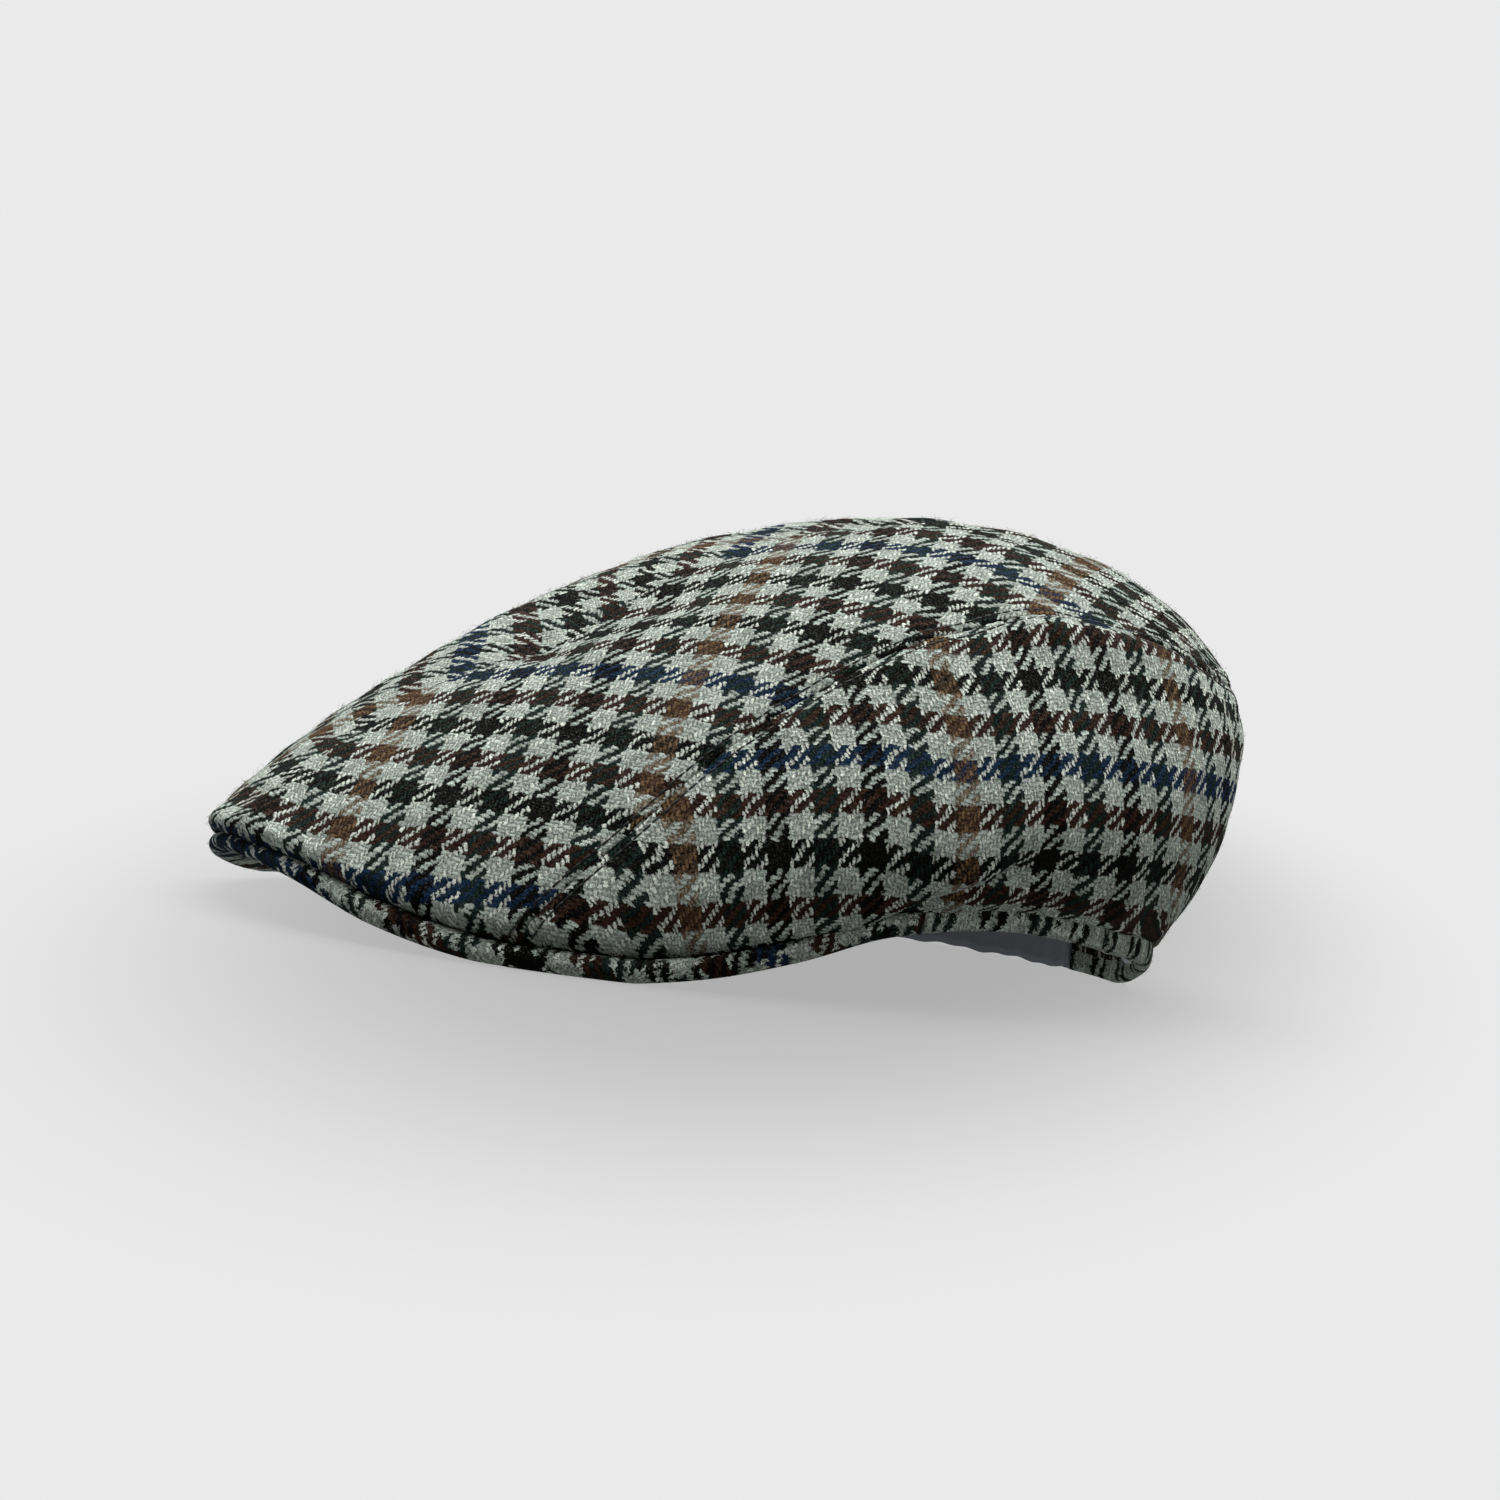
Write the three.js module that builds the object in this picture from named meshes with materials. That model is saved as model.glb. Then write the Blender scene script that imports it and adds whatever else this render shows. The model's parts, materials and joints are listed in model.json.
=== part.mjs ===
// Flat cap, duckbill shape, in checked wool: a two-piece top, two side panels, a stiff peak,
// a hem strip round the head opening and a sweatband inside it.
// Millimetres, +Z up, the peak towards -Y, the wearer's left on +X. It rests on its peak and back hem.
import * as THREE from "three";

// ---- Driving dimensions ----
const CLOTH = 2.2; // wool and its backing
const GAP = 0.3; // between neighbouring pieces
const POLE = { y: 60, z: 115.8 }; // highest point of the crown, on the centre line
const HEM = 5.5; // height of the peak's edge and of the hem strip
const PEAK_BOARD = 4; // thickness of the peak at the brow
const PEAK_LIP = 2.6; // depth of the rounded nose of the peak
const PEAK_SHELF = 9; // level part of the peak's top, under the crown's edge
const BROW_Z = 21; // height of the opening at the forehead
const TEMPLE = 61.5; // bearing where the peak ends and the hem strip starts
const STRIP = 3; // hem strip, from outside to inside
const BAND = { thick: 1.6, tall: 28, lift: 0.5 }; // sweatband
const BAND_ENDS = { left: 155, right: -171 }; // bearings of its two ends at the back
const BAND_SAG = { drop: 10, from: 85, to: 125 }; // on the wearer's right it hangs lower
const SEAM_DEEP = 1; // the side seam lies in a groove
const SEAM_WIDE = 4;

// Ellipses in plan: half width, half length, and where the centre lies front to back.
const PEAK_EDGE = { a: 98, b: 104.5, y: -31 };
const CROWN_FOOT = { a: 94.5, b: 103, y: -31 };
const OPENING = { a: 84.5, b: 101, y: 18.5 };

// The crown, section by section. bearing: degrees round the pole from the front; hem: height of the
// lowest edge; out, up: distance from the pole and height of the widest point; fall, rise: how
// square the shoulder is above it.
const SECTIONS = [
  { bearing: 0, hem: 12.0, out: 195.0, up: 20.5, fall: 1.62, rise: 1.14 },
  { bearing: 8, hem: 10.8, out: 192.5, up: 18.5, fall: 1.66, rise: 1.15 },
  { bearing: 16, hem: 6.0, out: 185.5, up: 13.8, fall: 1.76, rise: 1.21 },
  { bearing: 24, hem: 0.9, out: 175.0, up: 11.5, fall: 1.84, rise: 1.28 },
  { bearing: 32, hem: -0.8, out: 162.5, up: 15.0, fall: 1.9, rise: 1.36 },
  { bearing: 40, hem: 2.4, out: 148.5, up: 22.0, fall: 1.94, rise: 1.42 },
  { bearing: 48, hem: 8.6, out: 136.5, up: 30.0, fall: 1.97, rise: 1.49 },
  { bearing: 56, hem: 15.4, out: 126.5, up: 37.0, fall: 1.99, rise: 1.54 },
  { bearing: 64, hem: 17.6, out: 118.0, up: 41.5, fall: 2.0, rise: 1.58 },
  { bearing: 76, hem: 18.8, out: 107.0, up: 46.5, fall: 2.02, rise: 1.62 },
  { bearing: 92, hem: 16.8, out: 96.5, up: 52.0, fall: 2.04, rise: 1.67 },
  { bearing: 110, hem: 13.2, out: 88.0, up: 58.0, fall: 2.07, rise: 1.72 },
  { bearing: 130, hem: 9.8, out: 82.6, up: 64.0, fall: 2.1, rise: 1.78 },
  { bearing: 150, hem: 5.2, out: 79.4, up: 68.5, fall: 2.12, rise: 1.8 },
  { bearing: 168, hem: 0.2, out: 76.7, up: 70.5, fall: 2.12, rise: 1.8 },
  { bearing: 180, hem: -0.6, out: 75.5, up: 71.0, fall: 2.12, rise: 1.8 },
];

// The side seam: how far up each section it lies, as a share of the way from foot to pole.
const SIDE_SEAM = [
  { bearing: 26.5, share: 0 },
  { bearing: 29, share: 0.07 },
  { bearing: 32, share: 0.148 },
  { bearing: 36, share: 0.26 },
  { bearing: 40, share: 0.335 },
  { bearing: 45, share: 0.405 },
  { bearing: 52, share: 0.47 },
  { bearing: 60, share: 0.525 },
  { bearing: 70, share: 0.567 },
  { bearing: 82, share: 0.58 },
  { bearing: 95, share: 0.57 },
  { bearing: 110, share: 0.545 },
  { bearing: 130, share: 0.505 },
  { bearing: 155, share: 0.46 },
  { bearing: 180, share: 0.445 },
];

// Folds and dents: each follows a line from one point to another; deep is inwards, wide its reach.
// The right half has the same ones, apart from those of the left side alone.
const FOLDS = [
  { from: [16, -52, 74], to: [34, -26, 86], deep: 2, wide: 14, leftOnly: true }, // hollow behind the peak
  { from: [92, -8, 30], to: [96, 44, 40], deep: 2.5, wide: 7 }, // tuck above the hem at the ear
  { from: [70, 42, 92], to: [64, 92, 86], deep: -1.8, wide: 12 }, // puffed edge of the side panel
  { from: [52, 112, 40], to: [78, 84, 34], deep: 1.2, wide: 8 }, // soft drape low at the back
];

// ---- Curves ----
const rad = THREE.MathUtils.degToRad;

// A smooth curve through rows of a table, level at an end where the cap mirrors.
function curve(rows, key, levelStart = true) {
  const x = rows.map((r) => r.bearing);
  const y = rows.map((r) => r[key]);
  const slope = y.map((_, i) => {
    if (i === y.length - 1) return 0;
    if (i === 0) return levelStart ? 0 : (y[1] - y[0]) / (x[1] - x[0]);
    const before = (y[i] - y[i - 1]) / (x[i] - x[i - 1]);
    const after = (y[i + 1] - y[i]) / (x[i + 1] - x[i]);
    return (before * (x[i + 1] - x[i]) + after * (x[i] - x[i - 1])) / (x[i + 1] - x[i - 1]);
  });
  return (bearing) => {
    const b = THREE.MathUtils.clamp(bearing, x[0], x[x.length - 1]);
    let i = 0;
    while (i < x.length - 2 && b > x[i + 1]) i++;
    const h = x[i + 1] - x[i];
    const t = (b - x[i]) / h;
    return (
      y[i] * (1 + 2 * t) * (1 - t) ** 2 +
      y[i + 1] * t * t * (3 - 2 * t) +
      h * (slope[i] * t * (1 - t) ** 2 - slope[i + 1] * t * t * (1 - t))
    );
  };
}

const out = curve(SECTIONS, "out");
const up = curve(SECTIONS, "up");
const fall = curve(SECTIONS, "fall");
const rise = curve(SECTIONS, "rise");
const hemCurve = curve(SECTIONS, "hem");

// Both sides of the cap are alike, so a bearing anywhere round it is read on the left.
const sideBearing = (b) => (Math.abs(b) > 180 ? 360 - Math.abs(b) : Math.abs(b));
const hem = (b) => Math.max(0, hemCurve(sideBearing(b))); // pressed flat where it rests

// Distance from the pole to an ellipse, in plan.
function reach(e, bearing) {
  const dx = Math.sin(rad(bearing));
  const dy = -Math.cos(rad(bearing));
  const y0 = POLE.y - e.y;
  const A = (dx / e.a) ** 2 + (dy / e.b) ** 2;
  const B = (2 * y0 * dy) / e.b ** 2;
  const C = (y0 / e.b) ** 2 - 1;
  return (-B + Math.sqrt(B * B - 4 * A * C)) / (2 * A);
}

// The larger of two lengths, with the corner between them rounded off.
function blend(p, q) {
  const round = 6;
  return Math.max(p, q) + Math.max(0, round - Math.abs(p - q)) ** 2 / (4 * round);
}

const footReach = (b) => blend(reach(CROWN_FOOT, b), reach(OPENING, b));
const edgeReach = (b) => blend(reach(PEAK_EDGE, b), reach(OPENING, b) + 0.8);
const place = (bearing, r, z) =>
  new THREE.Vector3(r * Math.sin(rad(bearing)), POLE.y - r * Math.cos(rad(bearing)), z);

// Height of the edge of the head opening: the brow rises above the peak.
function openingZ(bearing) {
  const b = sideBearing(bearing);
  if (b >= TEMPLE) return hem(b);
  const side = hem(TEMPLE);
  return side + ((BROW_Z - side) * (1 + Math.cos((Math.PI * b) / TEMPLE))) / 2;
}

// ---- The crown's surface ----
// One section from foot to pole, as a closely spaced line with its running length.
const SECTION_STEPS = 160;
const sections = new Map();
function section(bearing) {
  const b = sideBearing(bearing);
  if (sections.has(b)) return sections.get(b);
  const foot = footReach(b);
  const footZ = hem(b) + HEM + GAP;
  const belly = Math.max(out(b), foot + 0.8);
  const line = [];
  for (let i = 0; i < SECTION_STEPS / 4; i++) {
    const a = ((i / (SECTION_STEPS / 4)) * Math.PI) / 2;
    line.push([foot + (belly - foot) * Math.sin(a), up(b) - (up(b) - footZ) * Math.cos(a)]);
  }
  for (let i = 0; i <= SECTION_STEPS; i++) {
    const a = ((i / SECTION_STEPS) * Math.PI) / 2;
    const r = i === SECTION_STEPS ? 0 : belly * Math.cos(a) ** (2 / fall(b));
    line.push([r, up(b) + (POLE.z - up(b)) * Math.sin(a) ** (2 / rise(b))]);
  }
  let length = 0;
  const run = line.map(([r, z], i) => {
    if (i) length += Math.hypot(r - line[i - 1][0], z - line[i - 1][1]);
    return { r, z, s: length };
  });
  const made = { run, length };
  sections.set(b, made);
  return made;
}

const SEAM_START = SIDE_SEAM[0].bearing;
const seamShare = curve(SIDE_SEAM, "share", false);

// Plain surface: share 0 at the foot, 1 at the pole. A bearing below 0 is on the wearer's right.
function plain(bearing, share) {
  const { run, length } = section(bearing);
  const s = THREE.MathUtils.clamp(share, 0, 1) * length;
  let i = 1;
  while (i < run.length - 1 && run[i].s < s) i++;
  const f = (s - run[i - 1].s) / (run[i].s - run[i - 1].s);
  const r = run[i - 1].r + f * (run[i].r - run[i - 1].r);
  return place(bearing, r, run[i - 1].z + f * (run[i].z - run[i - 1].z));
}

function outward(bearing, share) {
  if (share > 0.985) return new THREE.Vector3(0, 0, 1);
  const round = plain(bearing + 0.5, share).sub(plain(bearing - 0.5, share));
  const upwards = plain(bearing, share + 0.008).sub(plain(bearing, Math.max(0, share - 0.008)));
  return round.cross(upwards).normalize();
}

// How far the folds and the seam groove push the cloth inwards at a point.
function sunk(p, bearing, share, folds) {
  let depth = 0;
  for (const f of folds) {
    const line = new THREE.Line3(new THREE.Vector3(...f.from), new THREE.Vector3(...f.to));
    const d = line.closestPointToPoint(p, true, new THREE.Vector3()).distanceTo(p);
    depth += f.deep * Math.exp(-((d / f.wide) ** 2));
  }
  if (bearing > SEAM_START) {
    const d = (share - seamShare(bearing)) * section(bearing).length;
    depth += SEAM_DEEP * Math.exp(-((d / SEAM_WIDE) ** 2));
  }
  return depth * THREE.MathUtils.smoothstep(share, 0, 0.05);
}

function crown(bearing, share, inset, folds) {
  const p = plain(bearing, share);
  const n = outward(bearing, share);
  if (bearing === 0 || bearing === 180) n.setX(0).normalize();
  p.addScaledVector(n, -sunk(p, bearing, share, folds) - inset);
  p.x = Math.max(0, p.x) + GAP / 2;
  return p;
}

// ---- Solids ----
// A closed mesh from rows of points: rings closed round each section, or open sheets with an
// outer and an inner face. Triangles that have shrunk to a line are dropped.
class Skin {
  constructor(mirror) {
    this.mirror = mirror;
    this.points = [];
  }
  tri(a, b, c) {
    const key = (p) => `${p.x.toFixed(3)},${p.y.toFixed(3)},${p.z.toFixed(3)}`;
    if (key(a) === key(b) || key(b) === key(c) || key(c) === key(a)) return;
    for (const p of this.mirror ? [a, c, b] : [a, b, c]) {
      this.points.push(this.mirror ? -p.x : p.x, p.y, p.z);
    }
  }
  quad(a, b, c, d) {
    this.tri(a, b, c);
    this.tri(a, c, d);
  }
  mesh(name, colour, roughness) {
    const geometry = new THREE.BufferGeometry();
    geometry.setAttribute("position", new THREE.Float32BufferAttribute(this.points, 3));
    geometry.computeVertexNormals();
    const material = new THREE.MeshStandardMaterial({ color: colour, roughness, metalness: 0 });
    const made = new THREE.Mesh(geometry, material);
    made.name = name;
    return made;
  }
}

// A sheet of cloth over the crown between two shares of each section.
function clothPanel(name, mirror, bearings, low, high, steps, colour) {
  const skin = new Skin(mirror);
  const folds = FOLDS.filter((f) => !(mirror && f.leftOnly));
  const grid = (inset) =>
    bearings.map((b) => {
      const share = (j) => low(b) + ((high(b) - low(b)) * j) / steps;
      return Array.from({ length: steps + 1 }, (_, j) => crown(b, share(j), inset, folds));
    });
  const outer = grid(0);
  const inner = grid(CLOTH);
  const last = bearings.length - 1;
  for (let i = 0; i < last; i++) {
    for (let j = 0; j < steps; j++) {
      skin.quad(outer[i][j], outer[i + 1][j], outer[i + 1][j + 1], outer[i][j + 1]);
      skin.quad(inner[i][j], inner[i][j + 1], inner[i + 1][j + 1], inner[i + 1][j]);
    }
    skin.quad(outer[i][0], inner[i][0], inner[i + 1][0], outer[i + 1][0]);
    skin.quad(outer[i][steps], outer[i + 1][steps], inner[i + 1][steps], inner[i][steps]);
  }
  for (let j = 0; j < steps; j++) {
    skin.quad(outer[0][j], outer[0][j + 1], inner[0][j + 1], inner[0][j]);
    skin.quad(outer[last][j], inner[last][j], inner[last][j + 1], outer[last][j + 1]);
  }
  return skin.mesh(name, colour, 0.95);
}

// A strip that runs round the opening: the same profile of points at each bearing, closed at both ends.
function strip(name, bearings, profile, colour, roughness) {
  const skin = new Skin(false);
  const rings = bearings.map((b) => profile(b).map(([r, z]) => place(b, r, z)));
  const n = rings[0].length;
  for (let i = 0; i < rings.length - 1; i++) {
    for (let k = 0; k < n; k++) {
      const m = (k + 1) % n;
      skin.quad(rings[i][k], rings[i + 1][k], rings[i + 1][m], rings[i][m]);
    }
  }
  for (const [end, ring] of [[bearings[0], rings[0]], [bearings.at(-1), rings.at(-1)]]) {
    const flat = profile(end).map(([r, z]) => new THREE.Vector2(r, z));
    for (const [a, b, c] of THREE.ShapeUtils.triangulateShape(flat, [])) {
      if (end === bearings[0]) skin.tri(ring[a], ring[b], ring[c]);
      else skin.tri(ring[a], ring[c], ring[b]);
    }
  }
  return skin.mesh(name, colour, roughness);
}

const between = (from, to, step) => {
  const count = Math.round((to - from) / step);
  return Array.from({ length: count + 1 }, (_, i) => from + ((to - from) * i) / count);
};

// ---- The cap ----
const TWEED = 0x4f5450;
const TWEED_EDGE = 0x474a48;
const GREY = 0x4a5054;

// Bearings of the sections, closer together where the side seam climbs.
const turn = [
  ...between(0, SEAM_START, 5),
  SEAM_START + 0.4,
  ...between(SEAM_START, 44, 1.7).slice(1),
  ...between(44, 180, 4.3).slice(1),
];
const seamGap = (b) => GAP / 2 / section(b).length;
const aboveSeam = (b) => (b <= SEAM_START ? 0 : seamShare(b) + seamGap(b));
const belowSeam = (b) => seamShare(b) - seamGap(b);
const sideTurn = turn.filter((b) => b > SEAM_START + 0.1);

const group = new THREE.Group();
for (const [side, mirror] of [["left", false], ["right", true]]) {
  group.add(clothPanel(`top_panel_${side}`, mirror, turn, aboveSeam, () => 1, 13, TWEED));
  group.add(clothPanel(`side_panel_${side}`, mirror, sideTurn, () => 0, belowSeam, 10, TWEED));
}

// The peak: a rounded nose along its edge, a shelf under the crown, then up to the brow.
const peakProfile = (bearing) => {
  const edge = edgeReach(bearing);
  const low = hem(bearing);
  const brow = reach(OPENING, bearing) - STRIP + 0.8;
  const span = Math.max(0, edge - brow);
  const shelf = Math.min(PEAK_SHELF, span * 0.6);
  const board = Math.min(openingZ(bearing) + PEAK_BOARD, low + HEM + (span - shelf) * 0.6);
  return [
    [edge, low + HEM / 2],
    [edge - 0.7, low + HEM - 1.1],
    [edge - PEAK_LIP, low + HEM],
    [edge - shelf, low + HEM],
    [brow, board],
    [brow, Math.min(openingZ(bearing), board - 3)],
    [edge - shelf * 0.75, low],
    [edge - 2, low],
    [edge - 0.7, low + 1.1],
  ];
};
group.add(strip("peak", between(-TEMPLE, TEMPLE, 2.2), peakProfile, TWEED_EDGE, 0.95));

// The hem strip: rolled cloth from temple to temple round the back.
const stripProfile = (b) => {
  const edge = edgeReach(b);
  const inside = reach(OPENING, b) + 0.8 - STRIP;
  const low = hem(b);
  return [
    [edge, low + 1.2],
    [edge, low + HEM - 1.2],
    [edge - 0.9, low + HEM],
    [inside + 0.6, low + HEM],
    [inside, low + HEM - 0.8],
    [inside, low + 0.8],
    [inside + 0.6, low],
    [edge - 0.9, low],
  ];
};
const hemStart = TEMPLE + 0.25;
group.add(strip("rim_band", between(hemStart, 360 - hemStart, 3.2), stripProfile, TWEED_EDGE, 0.95));

// The sweatband, open at the back.
const bandProfile = (bearing) => {
  const face = reach(OPENING, bearing) + 0.8 - STRIP - GAP;
  const sag = BAND_SAG.drop * THREE.MathUtils.smoothstep(-bearing, BAND_SAG.from, BAND_SAG.to);
  const low = BAND.lift + Math.max(0, openingZ(bearing) - sag);
  return [
    [face, low],
    [face, low + BAND.tall],
    [face - BAND.thick, low + BAND.tall],
    [face - BAND.thick, low],
  ];
};
group.add(strip("sweatband", between(BAND_ENDS.right, BAND_ENDS.left, 5), bandProfile, GREY, 0.6));

export default group;
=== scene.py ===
"""Flat cap in checked wool, on a pale floor. Built in millimetres in the CAD frame, then scaled to metres."""
import json

import bpy
import numpy as np
from mathutils import Matrix

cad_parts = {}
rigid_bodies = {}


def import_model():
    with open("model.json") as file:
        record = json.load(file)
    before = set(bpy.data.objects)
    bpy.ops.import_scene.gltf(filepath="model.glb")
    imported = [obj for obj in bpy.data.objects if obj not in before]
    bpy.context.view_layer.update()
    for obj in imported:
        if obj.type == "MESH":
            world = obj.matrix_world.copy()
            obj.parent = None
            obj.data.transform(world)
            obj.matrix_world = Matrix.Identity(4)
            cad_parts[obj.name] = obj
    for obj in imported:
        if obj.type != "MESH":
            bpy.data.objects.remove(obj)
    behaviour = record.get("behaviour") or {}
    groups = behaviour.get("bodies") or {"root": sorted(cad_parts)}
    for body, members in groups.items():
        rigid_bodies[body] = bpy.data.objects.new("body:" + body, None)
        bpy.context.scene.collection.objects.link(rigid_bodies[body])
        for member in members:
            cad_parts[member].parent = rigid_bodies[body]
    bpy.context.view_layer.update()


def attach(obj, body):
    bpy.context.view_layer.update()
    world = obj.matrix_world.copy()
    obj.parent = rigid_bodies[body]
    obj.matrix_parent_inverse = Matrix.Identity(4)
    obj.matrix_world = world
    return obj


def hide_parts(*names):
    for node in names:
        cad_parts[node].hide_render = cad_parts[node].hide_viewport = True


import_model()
MM = 0.001
rng = np.random.default_rng(7)

# ---- The crown's plain surface, as the CAD has it (mm) ----
POLE_Y, POLE_Z = 60.0, 115.8  # the crown's highest point
HEM, GAP, CLOTH = 5.5, 0.3, 2.2  # lower edge's height, gap between pieces, thickness
# ellipses in plan: half width, half length, y of the middle
PEAK_EDGE = (98.0, 104.5, -31.0)
CROWN_FOOT = (94.5, 103.0, -31.0)
OPENING = (84.5, 101.0, 18.5)
BROW_Z = 21.0  # height of the opening at the forehead
TEMPLE = 61.5  # bearing where the peak ends and the hem strip starts
STRIP = 3.0  # hem strip, from outside to inside
STRIP_OUT = 0.8  # how far the hem strip stands outside the opening
BAND_THICK, BAND_TALL = 1.6, 28.0  # sweatband
NEAR = 6.0  # within this, the larger of two lengths rounds over into the other

# bearing round the pole from the front, hem height, widest reach and its height, fall, rise
SECTIONS = np.array([
    (0, 12.0, 195.0, 20.5, 1.62, 1.14), (8, 10.8, 192.5, 18.5, 1.66, 1.15),
    (16, 6.0, 185.5, 13.8, 1.76, 1.21), (24, 0.9, 175.0, 11.5, 1.84, 1.28),
    (32, -0.8, 162.5, 15.0, 1.90, 1.36), (40, 2.4, 148.5, 22.0, 1.94, 1.42),
    (48, 8.6, 136.5, 30.0, 1.97, 1.49), (56, 15.4, 126.5, 37.0, 1.99, 1.54),
    (64, 17.6, 118.0, 41.5, 2.00, 1.58), (76, 18.8, 107.0, 46.5, 2.02, 1.62),
    (92, 16.8, 96.5, 52.0, 2.04, 1.67), (110, 13.2, 88.0, 58.0, 2.07, 1.72),
    (130, 9.8, 82.6, 64.0, 2.10, 1.78), (150, 5.2, 79.4, 68.5, 2.12, 1.80),
    (168, 0.2, 76.7, 70.5, 2.12, 1.80), (180, -0.6, 75.5, 71.0, 2.12, 1.80)])
# bearing, share of the way from foot to pole
SIDE_SEAM = np.array([
    (26.5, 0), (29, 0.07), (32, 0.148), (36, 0.26), (40, 0.335), (45, 0.405), (52, 0.47), (60, 0.525),
    (70, 0.567), (82, 0.58), (95, 0.57), (110, 0.545), (130, 0.505), (155, 0.46), (180, 0.445)])
SEAM_START = SIDE_SEAM[0, 0]


def curve(rows, column, level_start=True):
    """A smooth curve through a table's rows, level where the cap mirrors."""
    x, y = rows[:, 0], rows[:, column]
    step, slant = np.diff(x), np.diff(y) / np.diff(x)
    slope = np.zeros(len(x))
    slope[1:-1] = (slant[:-1] * step[1:] + slant[1:] * step[:-1]) / (step[1:] + step[:-1])
    slope[0] = 0 if level_start else slant[0]

    def at(value):
        v = np.clip(value, x[0], x[-1])
        i = np.clip(np.searchsorted(x, v, side="right") - 1, 0, len(x) - 2)
        h, t = step[i], (v - x[i]) / step[i]
        return (y[i] * (1 + 2 * t) * (1 - t) ** 2 + y[i + 1] * t * t * (3 - 2 * t)
                + h * (slope[i] * t * (1 - t) ** 2 - slope[i + 1] * t * t * (1 - t)))

    return at


hem_curve, reach_out, belly_z, fall, rise = (curve(SECTIONS, k) for k in range(1, 6))
seam_share = curve(SIDE_SEAM, 1, level_start=False)


def rising(x, start, wide):
    """0 up to start, 1 from start + wide, and a straight line in between."""
    return np.clip((x - start) / wide, 0, 1)


def eased(t):
    return t * t * (3 - 2 * t)


def side(b):
    """The bearing mirrored to 0 to 180."""
    b = np.abs(b)
    return np.where(b > 180, 360 - b, b)


def hem(b):
    return np.maximum(0, hem_curve(side(b)))


def reach(ellipse, b):
    """Distance from the pole to an ellipse, in plan."""
    a, c, y = ellipse
    dx, dy, y0 = np.sin(np.radians(b)), -np.cos(np.radians(b)), POLE_Y - y
    A, B, C = (dx / a) ** 2 + (dy / c) ** 2, 2 * y0 * dy / c ** 2, (y0 / c) ** 2 - 1
    return (-B + np.sqrt(B * B - 4 * A * C)) / (2 * A)


def larger(p, q):
    """The larger of two lengths, rounded over where they cross."""
    return np.maximum(p, q) + np.maximum(0, NEAR - np.abs(p - q)) ** 2 / (4 * NEAR)


def opening_z(b):
    """Height of the opening's edge: the hem's at the sides and back, arched up to the brow in front."""
    b = side(b)
    low = hem(TEMPLE)
    brow = low + (BROW_Z - low) * (1 + np.cos(np.pi * np.minimum(b, TEMPLE) / TEMPLE)) / 2
    return np.where(b >= TEMPLE, hem(b), brow)


def place(b, r, z):
    """The point at a bearing and a distance from the pole, in plan, and at a height."""
    return np.stack([r * np.sin(np.radians(b)), POLE_Y - r * np.cos(np.radians(b)), z + 0 * r], -1)


PER_DEGREE, STEPS_UP = 4, 500
BEARINGS = np.linspace(0, 180, 180 * PER_DEGREE + 1)
SHARES = np.linspace(0, 1, STEPS_UP + 1)


def all_sections():
    """Reach and height on a grid of bearing and share, and each section's length."""
    R, Z = np.zeros((2, len(BEARINGS), len(SHARES)))
    length = np.zeros(len(BEARINGS))
    low = np.arange(60) / 60 * np.pi / 2  # quarter turn from the foot out to the widest point
    high = np.linspace(0, np.pi / 2, 400)  # and from there to the pole
    for k, b in enumerate(BEARINGS):
        foot, foot_z = larger(reach(CROWN_FOOT, b), reach(OPENING, b)), hem(b) + HEM + GAP
        belly, z0 = max(reach_out(b), foot + 0.8), belly_z(b)
        r = np.r_[foot + (belly - foot) * np.sin(low), belly * np.maximum(0, np.cos(high)) ** (2 / fall(b))]
        z = np.r_[z0 - (z0 - foot_z) * np.cos(low), z0 + (POLE_Z - z0) * np.sin(high) ** (2 / rise(b))]
        r[-1] = 0
        s = np.r_[0, np.cumsum(np.hypot(np.diff(r), np.diff(z)))]
        length[k] = s[-1]
        R[k], Z[k] = np.interp(SHARES * s[-1], s, r), np.interp(SHARES * s[-1], s, z)
    return R, Z, length


REACH, HEIGHT, LENGTH = all_sections()


def length_at(b):
    return np.interp(b, BEARINGS, LENGTH)


def plain(b, share):
    """The plain surface at a bearing of 0 to 180 and a share of the way from foot to pole."""
    x, y = np.clip(b, 0, 180) * PER_DEGREE, np.clip(share, 0, 1) * STEPS_UP
    i = np.minimum(x.astype(int), len(BEARINGS) - 2)
    j = np.minimum(y.astype(int), STEPS_UP - 1)
    fx, fy = x - i, y - j

    def mix(T):
        return ((T[i, j] * (1 - fx) + T[i + 1, j] * fx) * (1 - fy)
                + (T[i, j + 1] * (1 - fx) + T[i + 1, j + 1] * fx) * fy)

    return place(b, mix(REACH), mix(HEIGHT))


# ---- Folds, seams and softness: how far the cloth stands out of the plain surface ----
STITCH_OFF = 2.4  # each row of topstitching, from the side seam
# From, to (mm), how far out (negative is in), how wide, and if it is placed on the left alone.
# Those that aren't lie at the same place on both sides.
FOLDS = [
    ((11, -60, 75), (14, -34, 87), -2.7, 13, True),  # hollow beside the centre seam, behind the peak
    ((95, 6, 23), (101, 30, 34), -3.0, 4.5, False),  # tuck above the hem at the ear
    ((101, 30, 34), (100, 46, 37), -1.6, 6, False),  # where the tuck runs out, behind the ear
    ((95, -14, 18), (103, 22, 37), 1.7, 4.5, False),  # the roll of cloth above the tuck
    ((70, 42, 92), (64, 92, 86), 1.8, 12, False),  # puffed edge of the side panel
    ((52, 112, 40), (78, 84, 34), -1.2, 8, False),  # soft drape low at the back
]


def to_segment(p, a, b):
    """Distance from points to the straight line between a and b."""
    a, b = np.array(a, float), np.array(b, float)
    t = np.clip((p - a) @ (b - a) / ((b - a) @ (b - a)), 0, 1)
    return np.linalg.norm(p - a - t[..., None] * (b - a), axis=-1)


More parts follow.
